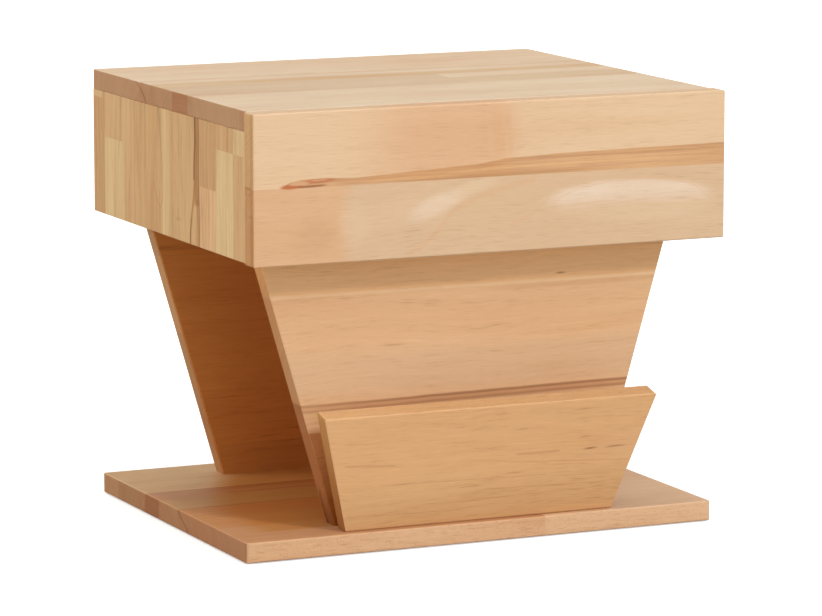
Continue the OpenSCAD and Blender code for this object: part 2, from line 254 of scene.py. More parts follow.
class Beech(Graph):
    """Edge-glued core beech. grain and width are the board's axes. staves are (edge, tone)
    pairs across the width, in millimetres, where edge is the stave's far side. g, w and t
    are places along the grain, across the width and through the board.
    """

    FACING = 0.6, 0.8  # how squarely an end faces along the grain: not an end yet, fully one
    CUT_RANGE = 2000.0  # millimetres that a ramp's 0 to 1 stands for
    GLUE_HALF = 0.4  # half a glue line's width
    ARRIS = 1.8, 0.5  # distance from an edge where wear starts, and where it is full

    # Scales of the noise that draws them, along the grain and across it
    STREAK = 0.009, 0.26
    FIBRE = 0.05, 1.15
    CLOUD = 0.005, 0.022
    FLECK = 0.075, 0.60
    SPECK = 0.32, 0.80

    def __init__(self, node, grain, width, staves, lean=0.0, **looks):
        super().__init__("beech_" + node)
        low, high = (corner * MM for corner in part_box(node))
        coord = self.node("TexCoord")
        at, normal = coord.outputs["Object"], coord.outputs["Normal"]
        if lean:
            at, normal, low, high = self.upright(at, normal, lean, low, high)
        _, self.x, self.y, self.z = self.place(at)
        facing = self.node("SeparateXYZ", normal).outputs
        self.facing_y = facing[1]
        g, w = "XYZ".index(grain), "XYZ".index(width)
        t = 3 - g - w
        place = (self.x, self.y, self.z)
        self.g, self.w, self.t = place[g], place[w], place[t]
        middle = (low + high) / 2
        self.local = [self.sub(place[a], middle[a]) for a in (g, w, t)]
        self.half = [(high[a] - low[a]) / 2 for a in (g, w, t)]
        self.end = self.step(self.size(facing[g]), *self.FACING)
        self.edge = self.step(self.size(facing[w]), *self.FACING)
        self.start, self.span = low[w], high[w] - low[w]
        self.staves = staves
        self.chance = random.Random(node)
        self.build(**looks)
        dress(node, self.material)

    def upright(self, at, normal, lean, low, high):
        """A leaning board's coordinates as if it stood upright, from its front face's foot."""
        turn = math.radians(lean)
        stand = self.node("Mapping", at, vector_type="TEXTURE")
        foot = Vector((0.0, high.y - BOARD / math.cos(turn), low.z))
        stand.inputs["Location"].default_value = foot / MM
        stand.inputs["Rotation"].default_value = (turn, 0.0, 0.0)
        face = self.node("Mapping", normal, vector_type="VECTOR")
        face.inputs["Rotation"].default_value = (-turn, 0.0, 0.0)
        tall = (high.z - low.z) / math.cos(turn)
        low, high = Vector((low.x, 0.0, 0.0)), Vector((high.x, BOARD, tall))
        return stand.outputs[0], face.outputs[0], low, high

    def across(self, values):
        """A constant value for each stave, from its start to its end."""
        stops = []
        at = 0.0
        for (edge, _), value in zip(self.staves, values):
            stops.append((at, value))
            at = min(1.0, max(0.0, (edge - self.start) / self.span))
        return self.ramp(self.mul(self.sub(self.w, self.start), 1.0 / self.span), stops, "CONSTANT")

    def glue_lines(self):
        """1 on the lines between staves."""
        total = None
        for edge, _ in self.staves[:-1]:
            line = self.step(self.size(self.sub(self.w, edge)), self.GLUE_HALF, 0.0)
            total = line if total is None else self.math("MAXIMUM", total, line)
        return total

    def cut(self, tones, seed, cuts):
        """Butt joints: past its joint along the grain, a stave goes on in another tone. cuts are
        (joint, tone) pairs, one for each stave.
        """
        place = self.across([grey(0.5 + at / self.CUT_RANGE) for at, _ in cuts])
        place = self.mul(self.sub(self.first(place), 0.5), self.CUT_RANGE)
        above = self.step(self.sub(self.g, place), -0.3, 0.3)
        tones = self.mix(above, tones, self.across([TONES[tone] for _, tone in cuts]))
        return tones, self.math("FRACT", self.add(seed, self.mul(above, 0.37)))

    def worn_edges(self):
        """1 along the board's arrises, where two faces meet."""
        start, full = self.ARRIS
        sizes = zip(self.local, self.half)
        near = [self.step(self.size(at), half - start, half - full) for at, half in sizes]
        pairs = [self.mul(near[a], near[b]) for a, b in ((0, 1), (1, 2), (0, 2))]
        return self.math("MAXIMUM", self.math("MAXIMUM", pairs[0], pairs[1]), pairs[2])

    def grow(self, seed):
        """The wood's figure as fields from 0 to 1, in each stave from another place in a tree."""
        shift = self.mul(seed, 900.0)
        g = self.add(self.g, shift)
        t = self.add(self.t, self.mul(shift, 0.7))
        swing = self.vector(self.mul(g, 0.006), self.mul(self.w, 0.010), seed)
        swing = self.sub(self.noise(swing, detail=2.0), 0.5)
        w = self.add(self.w, self.mul(swing, 18.0), self.mul(shift, 0.3))
        self.spot = g, w, t

        # Growth rings lie round a heart somewhere under each stave
        heart = self.mul(self.sub(seed, 0.5), 150.0)
        out = self.add(self.local[1], self.mul(swing, 30.0), heart)
        deep = self.add(self.local[2], 60.0, self.mul(self.local[0], 0.05))
        self.radius = self.math("SQRT", self.add(self.mul(out, out), self.mul(deep, deep)))
        layers = self.vector(self.mul(self.radius, 0.22), self.mul(g, 0.0030), shift)
        self.rings = self.noise(layers, detail=4.0, roughness=0.6)
        self.streak = self.noise(self.stretched(*self.STREAK), detail=5.0, roughness=0.62)
        self.fibre = self.noise(self.stretched(*self.FIBRE), detail=2.0)
        self.cloud = self.noise(self.stretched(*self.CLOUD), detail=2.0)

    def stretched(self, along, across):
        """Place in the tree, scaled by along in the grain's direction and by across in others."""
        g, w, t = self.spot
        return self.vector(self.mul(g, along), self.mul(w, across), self.mul(t, across))

    def grained(self, base, face, figure, clouds):
        """Darker and lighter grain on the faces, and broad clouds of heartwood and sapwood."""
        weights = (self.rings, 0.9 * figure), (self.streak, 1.1 * figure), (self.fibre, 1.4)
        grain = self.add(*(self.mul(self.sub(field, 0.5), weight) for field, weight in weights))
        grain = self.mul(grain, face)
        colour = self.mix(self.step(grain, 0.0, -0.9, 0.0, 0.9), base, self.tint(1.0, base, SHADE))
        colour = self.mix(self.step(grain, 0.0, 0.9, 0.0, 0.8), colour, self.tint(1.0, base, GLOW))
        dark, light = self.step(self.cloud, 0.50, 0.78), self.step(self.cloud, 0.50, 0.25)
        colour = self.tint(self.mul(dark, 0.35 * clouds), colour, HEART)
        return self.tint(self.mul(light, 0.8 * clouds), colour, SAP)

    def flecked(self, colour, face, flecks):
        """Short dark flecks along the grain, and specks on the long edges. Also the flecks."""
        fleck, chance = self.cells(self.stretched(*self.FLECK))
        mark = self.mul(self.step(fleck, 0.42, 0.08), self.step(chance, 0.30, 0.75), face)
        amount = self.add(self.mul(self.edge, 0.25), 0.15 * flecks)
        amount = self.mul(amount, self.step(self.cloud, 0.2, 0.6, 0.5, 1.0))
        colour = self.tint(self.mul(mark, amount), colour, SHADE)
        speck, chance = self.cells(self.stretched(*self.SPECK))
        speck = self.mul(self.step(speck, 0.45, 0.10), self.step(chance, 0.25, 0.7), self.edge)
        return self.tint(self.mul(speck, 0.42), colour, SHADE), mark

    def end_grained(self, colour, seed, ends):
        """End grain is darker, with rings as arcs and pores as dots."""
        pores = self.vector(*(self.mul(a, 1.1) for a in (self.w, self.t, self.g)))
        pores = self.step(self.noise(pores, detail=2.0), 0.48, 0.66)
        arcs = self.vector(self.mul(self.radius, 0.55), self.mul(self.spot[1], 0.01), seed)
        arcs = self.step(self.noise(arcs, detail=2.0), 0.40, 0.62)
        dark = self.add(self.mul(arcs, 0.30), self.mul(pores, 0.30))
        end = self.tint(1.0, colour, ENDS)
        if ends:
            end = ends(self, end)
        return self.mix(self.end, colour, self.mix(dark, end, self.tint(1.0, end, HEART)))

    def build(self, cuts=None, figure=1.0, flecks=1.0, clouds=1.0, glue=0.15, paint=None, wear=1.0,
              ends=None, base_tint=None):
        """The whole material. figure, flecks, clouds, glue and wear are strengths, and paint and
        ends are functions that draw this board's own marks and some painted light and shade.
        """
        tones = self.across([TONES[tone] for _, tone in self.staves])
        seed = self.first(self.across([grey(self.chance.uniform(0.05, 0.95)) for _ in self.staves]))
        if cuts:
            tones, seed = self.cut(tones, seed, cuts)
        self.grow(seed)
        face = self.sub(1.0, self.end)
        base = paint(self, tones) if paint else tones
        colour = self.grained(base, face, figure, clouds)
        colour, mark = self.flecked(colour, face, flecks)
        colour = self.end_grained(colour, seed, ends)
        if len(self.staves) > 1 and glue:
            colour = self.tint(self.mul(self.glue_lines(), glue), colour, GLUE)
        worn = self.mul(self.worn_edges(), self.step(self.streak, 0.35, 0.6, 0.4, 1.0), wear)
        colour = self.tint(self.mul(worn, 0.25), colour, SAP)
        if base_tint:
            colour = self.tint(1.0, colour, (*base_tint, 1.0))

        roughness = self.step(self.fibre, 0.3, 0.7, 0.46, 0.58)
        roughness = self.add(roughness, self.mul(self.end, 0.12), self.mul(worn, -0.06))
        self.bump(self.sub(self.mul(self.fibre, 0.6), self.mul(mark, 0.5)), 0.25, 0.0002)
        self.finish(colour, roughness, Specular_IOR_Level=0.25)

    # ---- Marks that paint functions draw ----

    def ribbon(self, along, across, points, half, soft):
        """1 within half of a line that follows points (along, across)."""
        away = self.size(self.sub(across, self.curve(along, points)))
        inside = self.step(away, half + soft, half - soft)
        return self.mul(inside, self.between(along, points[0][0], points[-1][0], 2.0))

    def patch(self, u, v, centre, radius, turn, soft, ragged=0.5):
        """Oval patch with a ragged edge: 1 inside it and 0 outside it."""
        du, dv = self.sub(u, centre[0]), self.sub(v, centre[1])
        c, s = math.cos(math.radians(turn)), math.sin(math.radians(turn))
        a = self.mul(self.add(self.mul(du, c), self.mul(dv, s)), 1.0 / radius[0])
        b = self.mul(self.sub(self.mul(dv, c), self.mul(du, s)), 1.0 / radius[1])
        away = self.math("SQRT", self.add(self.mul(a, a), self.mul(b, b)))
        along = self.vector(self.mul(self.g, 0.025), self.mul(self.w, 0.16), centre[0])
        fray = self.noise(along, detail=4.0)
        away = self.add(away, self.mul(self.sub(fray, 0.5), ragged))
        return self.step(away, 1.0 + soft, 1.0 - soft)

    def stain(self, base, share, mask, tone):
        """Base covered by a tone or a colour, by share where mask is 1."""
        return self.mix(self.mul(mask, share), base, TONES[tone] if isinstance(tone, str) else tone)

    def wavy(self, value, along, size, scale=0.012):
        """Value, which swings by size millimetres as along goes on."""
        swing = self.noise(self.vector(self.mul(along, scale), 1.0, 0.0), detail=3.0)
        return self.add(value, self.mul(self.sub(swing, 0.5), size))


# Each board's figure, from its tones, and the look of its end grain, with painted light and shade
# on some boards. Places and sizes are in millimetres in the object's frame. The pocket's are on its
# board, up from its foot.


def front_upper(b, base):
    """Drawer front above its glue line: a warm blush, with leaning darker lines in it."""
    x, z = b.x, b.z
    upper = b.step(z, 326.0, 327.0)
    left, right = b.wavy(x, z, 22.0, 0.06), b.wavy(x, z, 18.0, 0.06)
    blush = b.mul(b.step(left, -150, -60), b.step(right, 32, 4), upper)
    base = b.stain(base, 0.75, blush, "apricot")
    warm = b.mul(b.patch(x, z, (-50, 356), (66, 26), 0, 0.7), upper)
    base = b.stain(base, 0.35, warm, "peach")
    for at, height, half, share in ((4, 362, 5, 0.26), (14, 364, 1.6, 0.24), (-8, 350, 2.0, 0.14)):
        lean = b.sub(x, b.mul(b.sub(z, height), -0.12))
        line = b.between(b.wavy(lean, z, 6.0, 0.06), at - half, at + half, 3.0)
        line = b.mul(line, b.step(z, 338, 350), b.step(z, 392, 372))
        base = b.stain(base, share, line, (0.66, 0.35, 0.155, 1.0))
    band = b.mul(b.patch(x, z, (110, 366), (70, 6), 2, 0.6), upper)
    return b.stain(base, 0.25, band, "honey")


def front_lower(b, base):
    """Drawer front below its glue line: duller wood, pale clouds and thin lines round them."""
    x, z = b.x, b.z
    lower = b.step(z, 327.0, 326.0)
    left = b.step(b.wavy(x, z, 20.0, 0.06), -130, -150)
    base = b.tint(lower, base, (0.90, 0.885, 0.89, 1.0))
    base = b.stain(base, 0.70, b.mul(left, lower), (0.70, 0.40, 0.205, 1.0))
    dull = b.mul(b.patch(x, z, (-168, 284), (20, 16), 20, 0.6), lower)
    base = b.stain(base, 0.16, dull, "brown")
    clouds = (
        ((-132, 292), (12, 18), 10, 0.60, 0.25, "cream"),
        ((-92, 303), (30, 12), 18, 0.70, 0.25, "pale"),
        ((-56, 304), (24, 8), 22, 0.50, 0.45, "white"),
        ((-30, 314), (34, 6), 18, 0.50, 0.40, "cream"),
        ((0, 298), (50, 20), 14, 0.60, 0.20, "straw"),
        ((133, 299), (80, 19), -1, 0.20, 0.25, "cream"),
    )
    for centre, radius, turn, soft, share, tone in clouds:
        cloud = b.mul(b.patch(x, z, centre, radius, turn, soft, 0.35), lower)
        base = b.stain(base, share, cloud, tone)
    glow = b.patch(x, z, (132, 299), (78, 18), -1, 0.16, 0.25)
    glow = b.mul(glow, b.step(b.wavy(z, x, 9.0), 289, 310), lower)
    base = b.stain(base, 0.72, glow, "white")
    edge = [(-82, 262), (-66, 272), (-52, 284), (-44, 294), (-34, 302), (-14, 310), (20, 318),
            (40, 322)]
    base = b.stain(base, 0.38, b.ribbon(x, z, edge, 2.4, 2.2), "peach")
    hook = [(16, 284), (34, 290), (46, 299), (54, 308)]
    base = b.stain(base, 0.26, b.ribbon(x, z, hook, 1.6, 1.4), "peach")
    rim = [(54, 296), (62, 304), (80, 311), (110, 316), (142, 318), (172, 316), (196, 308),
           (210, 296)]
    base = b.stain(base, 0.35, b.ribbon(x, z, rim, 0.7, 0.8), "apricot")
    foot = [(56, 296), (80, 298), (110, 297), (140, 295), (170, 293), (196, 292), (208, 290)]
    return b.stain(base, 0.22, b.ribbon(x, b.wavy(z, x, 5.0, 0.03), foot, 1.5, 2.0), "honey")


def front_streak(b, base):
    """Heartwood streak on the drawer front's glue line, which starts at a red tip on the left."""
    x, z = b.x, b.z
    outline = [(-230, 326), (-200, 326), (-192, 331), (-180, 333.5), (-160, 333.5), (-130, 332.5),
               (-100, 334), (-60, 336), (-15, 338), (10, 341.5), (60, 343.5), (225, 345),
               (230, 345)]
    depth = b.sub(b.curve(x, outline), b.wavy(z, x, 2.0))
    inside = b.mul(b.step(depth, -0.5, 0.7), b.step(z, 325.9, 326.7), b.step(x, -201, -198))
    lines = b.noise(b.vector(b.mul(x, 0.006), b.mul(z, 0.34), 7.0), detail=5.0, roughness=0.65)
    heart = b.mix(b.step(lines, 0.34, 0.64), (0.70, 0.375, 0.145, 1.0), (0.51, 0.23, 0.080, 1.0))
    base = b.stain(base, 0.66, inside, heart)
    dark = b.mul(b.between(depth, 0.0, 4.5, 1.1), inside, b.step(x, -150, -60, 0.9, 0.75))
    base = b.stain(base, 0.30, dark, "sienna")
    foot = b.between(b.wavy(z, x, 4.0), 326, 329.5, 1.0)
    foot = b.mul(foot, inside, b.patch(x, z, (20, 328), (80, 6), 0, 0.6))
    base = b.stain(base, 0.55, foot, "brown")
    red = (0.50, 0.138, 0.044, 1.0)
    tips = (
        ((-190, 327.6), (10, 2.2), red, 0.85), ((-165, 331.4), (15, 2.0), red, 0.60),
        ((-172, 327.2), (14, 1.0), "rust", 0.8), ((-183, 330.0), (9, 1.5), "peach", 0.8),
        ((-164, 332.2), (7, 0.8), "peach", 0.6), ((-152, 328.6), (6, 0.8), "peach", 0.5),
    )
    for centre, radius, tone, share in tips:
        base = b.stain(base, share, b.patch(x, z, centre, radius, 2, 0.3, 0.7), tone)
    return base


def front_figure(b, base):
    """Drawer front: a blush above its glue line, clouds below it and a dark streak on it."""
    return front_streak(b, front_lower(b, front_upper(b, base)))


def side_figure(b, base):
    """Left side: a dark heartwood streak, a straw strip with a curl beside it, a dark joint, and a
    painted highlight at its top back corner.
    """
    y, z = b.wavy(b.y, b.z, 3.0, 0.02), b.z
    base = b.stain(base, 0.75, b.between(y, 7, 24, 1.4), "straw")
    curl = [(284, 29), (290, 24), (300, 22.5), (320, 24), (350, 29), (380, 33)]
    base = b.stain(base, 0.55, b.ribbon(z, y, curl, 1.0, 1.0), "brown")
    tail = [(284, 30), (288, 36), (296, 41), (306, 46)]
    base = b.stain(base, 0.40, b.ribbon(z, y, tail, 1.2, 1.2), "brown")
    heart, dark = (0.37, 0.140, 0.028, 1.0), (0.17, 0.052, 0.007, 1.0)
    strands = (
        ([(296, -58), (325, -56.5), (350, -58.5), (380, -59)], 5.0, 2.4, 0.72, heart),
        ([(318, -51.5), (335, -52.5), (350, -54.5), (380, -54.5)], 1.5, 1.0, 0.80, dark),
        ([(255, -64), (290, -63.5), (320, -62.5), (380, -63)], 0.8, 0.7, 0.70, dark),
        ([(255, -60.5), (280, -60), (302, -59)], 2.4, 1.6, 0.55, heart),
        ([(255, -42), (272, -43), (288, -46.5), (304, -51.5), (322, -54)], 2.0, 1.4, 0.70, heart),
        ([(255, -42), (270, -42.5), (284, -45)], 0.7, 0.7, 0.60, dark),
        ([(262, -50), (280, -52), (294, -55)], 1.8, 1.6, 0.50, "honey"),
    )
    for line, half, soft, share, tone in strands:
        base = b.stain(base, share, b.ribbon(z, y, line, half, soft), tone)
    base = b.stain(base, 0.35, b.ribbon(z, b.y, [(255, 92), (380, 92)], 0.5, 0.5), "umber")
    base = b.stain(base, 0.30, b.between(y, 93, 112, 2.0), "peach")
    # Painted highlight: a pale patch at the top back corner, just under the top panel
    corner = b.mul(b.step(y, 170, 176), b.step(b.wavy(z, y, 2.0, 0.1), 366, 368))
    base = b.stain(base, 0.80, corner, "straw")
    return b.stain(base, 0.35, b.patch(b.y, z, (-14, 279), (7, 1.4), 0, 0.4), "brown")


def stand_figure(b, base):
    """Front stand panel: a greyer top stave, a pale line under it and a dark double line. Painted
    light makes the top stave paler upwards, and painted shade darkens the foot behind the pocket.
    """
    x, z = b.x, b.wavy(b.z, b.x, 2.4, 0.008)
    # Painted light: the top stave grows paler towards its top, against the shadow under the drawer
    # box
    base = b.tint(b.step(b.z, 226, 258, 0.2, 0.9), base, (1.34, 1.33, 1.22, 1.0))
    base = b.stain(base, 0.85, b.between(b.z, 222.0, 224.6, 0.5), (0.76, 0.49, 0.27, 1.0))
    base = b.stain(base, 0.22, b.mul(b.between(z, 217, 221, 1.4), b.step(x, 0, 60)), "sienna")
    base = b.stain(base, 0.45, b.between(z, 134, 170, 9.0), (0.605, 0.391, 0.235, 1.0))
    line = b.step(x, -160, 160, 126.5, 129.5)
    right = b.step(x, -160, -20, 0.65, 1.0)
    lines = (
        (2.5, 5.0, 2.4, 0.48, "sienna"),
        (0.0, 1.7, 0.6, 0.50, "umber"),
        (4.6, 1.6, 0.5, 0.30, "umber"),
    )
    for drop, outer, inner, share, tone in lines:
        away = b.size(b.sub(z, b.sub(line, drop)))
        base = b.stain(base, b.mul(right, share), b.step(away, outer, inner), tone)
    flecks = (
        ((92, 229), (4, 0.8), 0.8, 0.60, "umber"),
        ((-70, 175.5), (10, 1.0), 1.0, 0.35, "sienna"),
        ((44, 207), (5, 1.4), 1.0, 0.20, "sienna"),
    )
    for centre, radius, soft, share, tone in flecks:
        base = b.stain(base, share, b.patch(x, b.z, centre, radius, 0, soft), tone)
    # Painted shade: darker and redder towards the foot, in the hollow behind the pocket front
    base = b.tint(b.step(b.z, 92, 24), base, (0.66, 0.48, 0.22, 1.0))
    return b.stain(base, 0.75, b.between(b.z, 103, 110, 1.0), "apricot")


def stand_ends(b, base):
    """Side edges of the front stand panel: dark red brown from a hand above the base plate down."""
    base = b.tint(1.0, base, (0.95, 0.87, 0.69, 1.0))
    redder = b.mix(b.step(b.z, 60, 19), (0.36, 0.130, 0.038, 1.0), (0.20, 0.056, 0.007, 1.0))
    base = b.mix(b.mul(b.step(b.z, 131, 125), 0.9), base, redder)
    streak = b.ribbon(b.z, b.y, [(19, -127), (45, -127), (50, -129)], 2.2, 1.0)
    return b.tint(b.mul(streak, 0.7), base, SHADE)


def rear_figure(b, base):
    """Rear stand panel: its inner face is a deeper red brown, painted shade between the panels."""
    # Mask of the inner face, which carries the painted shade of the hollow between the stand panels
    heart = b.step(b.facing_y, -0.2, -0.6)
    base = b.mix(b.mul(heart, 0.90), base, (0.69, 0.250, 0.046, 1.0))
    for swing, low, high, share in ((3.0, 19, 47, 0.12), (5.0, 231, 236, 0.18)):
        band = b.between(b.wavy(b.z, b.x, swing), low, high, 1.5)
        base = b.stain(base, share, b.mul(band, heart), "umber")
    return base


def rear_ends(b, base):
    """Side edges of the rear stand panel: redder towards the foot."""
    redder = b.mix(b.step(b.z, 200, 40), (0.94, 0.90, 0.80, 1.0), (0.86, 0.72, 0.56, 1.0))
    return b.tint(1.0, base, redder)


def pocket_figure(b, base):
    """Pocket front: thin brown lines, a blush and dark flecks at the right, duller low down, a
    painted highlight on its slanting arrises and a painted contact shadow along its foot.
    """
    x, z = b.x, b.z
    base = b.stain(base, 0.55, b.step(b.wavy(z, x, 8.0), 56, 4), "clay")
    base = b.stain(base, 0.35, b.patch(x, z, (126, 60), (26, 11), 5, 1.2), "peach")
    wave = b.wavy(z, x, 3.0, 0.02)
    lines = (
        ((-136, 63), (-88, 60), 1.1, 0.25), ((28, 61), (70, 61), 1.2, 0.28),
        ((40, 53), (140, 47), 0.4, 0.35), ((-20, 60), (60, 50), 0.4, 0.22),
        ((-100, 42), (60, 39), 0.4, 0.25), ((0, 30), (120, 27), 0.4, 0.25),
        ((-60, 20), (100, 22), 0.4, 0.20), ((-130, 14), (-20, 12), 0.4, 0.20),
    )
    for start, end, half, share in lines:
        base = b.stain(base, share, b.ribbon(x, wave, [start, end], half, 0.6), "sienna")
    flecks = (
        ((100, 61), (5, 0.8), 0.75), ((125, 61), (8, 0.7), 0.60),
        ((94, 73), (4, 0.7), 0.30), ((30, 85), (5, 0.8), 0.22),
    )
    for centre, radius, share in flecks:
        base = b.stain(base, share, b.patch(x, z, centre, radius, 2, 0.9), "umber")
    # Painted highlight: a pale line along both slanting side arrises, where the light catches them
    painted_arris_highlight = b.step(b.sub(b.size(x), b.mul(z, 0.286)), 126.6, 128.0)
    base = b.stain(base, 0.60, painted_arris_highlight, "apricot")
    # Painted contact shadow: a dark line along the foot, where the board meets the base plate
    return b.stain(base, 0.75, b.step(z, 2.0, 0.5), "umber")


def pocket_ends(b, base):
    """Side edges of the pocket front: dull brown, darker towards the foot."""
    brown = b.mix(b.step(b.z, 110, 0), (0.49, 0.235, 0.057, 1.0), (0.29, 0.100, 0.011, 1.0))
    return b.mix(0.85, base, brown)


def top_figure(b, base):
    """Top panel: a pale line, a pinkish stretch up to a butt joint, and faint darker bands."""
    x, y = b.x, b.wavy(b.y, b.x, 4.0, 0.01)
    base = b.stain(base, 0.60, b.between(y, 52, 70, 5.0), "cream")
    base = b.stain(base, 0.30, b.between(y, 26, 46, 5.0), "fawn")
    pinkish = b.mul(b.between(y, -50, 26, 4.0), b.step(x, 46, 45))
    base = b.stain(base, 0.60, pinkish, (0.62, 0.385, 0.205, 1.0))
    base = b.stain(base, 0.50, b.mul(b.between(y, -46, -4, 3.0), b.step(x, 45, 46)), "fawn")
    for x0, x1 in ((-112, -50), (160, 222)):
        base = b.stain(base, 0.30, b.ribbon(x, y, [(x0, 86), (x1, 82)], 6.0, 3.0), "tan")
    return b.stain(base, 0.30, b.between(y, 100, 190, 10.0), "apricot")


def front_ends(b, base):
    """Drawer front's end grain: upright rings, darkest at the front, and short faults in them."""
    y, z = b.wavy(b.y, b.z, 2.0, 0.02), b.z
    base = b.tint(1.0, base, (1.00, 1.01, 0.79, 1.0))
    rings = b.mul(b.between(y, -195, -189.5, 1.0), b.step(z, 270, 330, 0.8, 0.5))
    base = b.tint(rings, base, HEART)
    base = b.tint(b.mul(b.between(y, -182.5, -181, 0.5), 0.30), base, HEART)
    for height, low, high, share in ((327, -192, -178, 0.55), (303, -194, -184, 0.30),
                                     (322, -190, -178, 0.25)):
        away = b.size(b.sub(b.wavy(z, b.y, 3.0, 0.1), height))
        fault = b.mul(b.step(away, 1.6, 0.4), b.between(y, low, high, 1.0))
        base = b.tint(b.mul(fault, share), base, SHADE)
    return base


def top_ends(b, base):
    """The top's staves' ends: two of heartwood, and an arc of it in another."""
    y, z = b.y, b.z
    dull = b.mix(0.55, base, (0.46, 0.272, 0.158, 1.0))
    base = b.tint(1.0, dull, (0.90, 0.78, 0.62, 1.0))
    base = b.tint(b.mul(b.between(y, -38, -1, 0.5), 0.75), base, HEART)
    base = b.tint(b.mul(b.between(y, -168, -156, 0.5), 0.30), base, HEART)
    arc = b.ribbon(z, y, [(372, 62), (378, 66), (384, 73), (388, 82), (392, 92)], 1.4, 1.2)
    base = b.tint(b.mul(arc, 0.9), base, SHADE)
    for centre, radius, share in (((56, 380), (20, 10), 0.35), ((80, 378), (24, 8), 0.25)):
        base = b.tint(b.mul(b.patch(y, z, centre, radius, 15, 0.6), share), base, HEART)
    return base


def base_figure(b, base):
    """Base plate: darker, redder painted shadow round the stand panels, and a paler front edge."""
    x, y = b.wavy(b.x, b.y, 14.0, 0.03), b.wavy(b.y, b.x, 3.0, 0.02)
    # The rim is the edge of a painted shadow that the box and the stand panels cast on the plate
    rim = b.curve(y, [(-180, -196), (-40, -192), (0, -180), (60, -154), (120, -118), (180, -100)])
    heart = b.mul(b.step(b.sub(x, rim), -18, 18), b.step(x, 150, 130), b.between(y, -140, 118, 4.0))
    # Painted shadow: darker, redder wood inside the rim, left of x 130 to 150
    base = b.tint(b.mul(heart, 0.9), base, (0.91, 0.68, 0.35, 1.0))
    base = b.tint(b.between(y, -16, 29, 0.5), base, (0.97, 1.07, 1.0, 1.0))
    # Inside the painted shadow: deeper towards the back, less red towards the front
    base = b.tint(b.mul(heart, b.step(y, 44, 58)), base, (0.87, 0.75, 0.66, 1.0))
    base = b.tint(b.mul(heart, b.step(y, -50, -70)), base, (1.0, 1.10, 1.16, 1.0))
    lines = ((62, -215, 120, 0.7, 0.35), (36, -155, 90, 1.8, 0.50), (-17, -200, 100, 1.6, 0.40))
    for at, x0, x1, half, share in lines:
        line = b.ribbon(b.x, y, [(x0, at), (x1, at)], half, 1.4)
        base = b.tint(b.mul(line, share), base, SHADE)
    front = b.step(b.facing_y, -0.4, -0.8)
    return b.stain(base, 0.85, front, (0.65, 0.390, 0.214, 1.0))


def base_ends(b, base):
    """The base plate's staves' ends: two darker ones, and an arc of heartwood in another."""
    y, z = b.y, b.z
    base = b.mix(0.7, base, (0.38, 0.178, 0.076, 1.0))
    base = b.tint(b.between(y, 66, 130, 0.6), base, (0.86, 0.84, 0.80, 1.0))
    base = b.tint(b.between(y, 29, 65, 0.6), base, (0.80, 0.66, 0.56, 1.0))
    arc = b.ribbon(z, y, [(0, -44), (6, -38), (12, -26), (20, -16)], 2.4, 1.4)
    return b.tint(b.mul(arc, 0.7), base, SHADE)


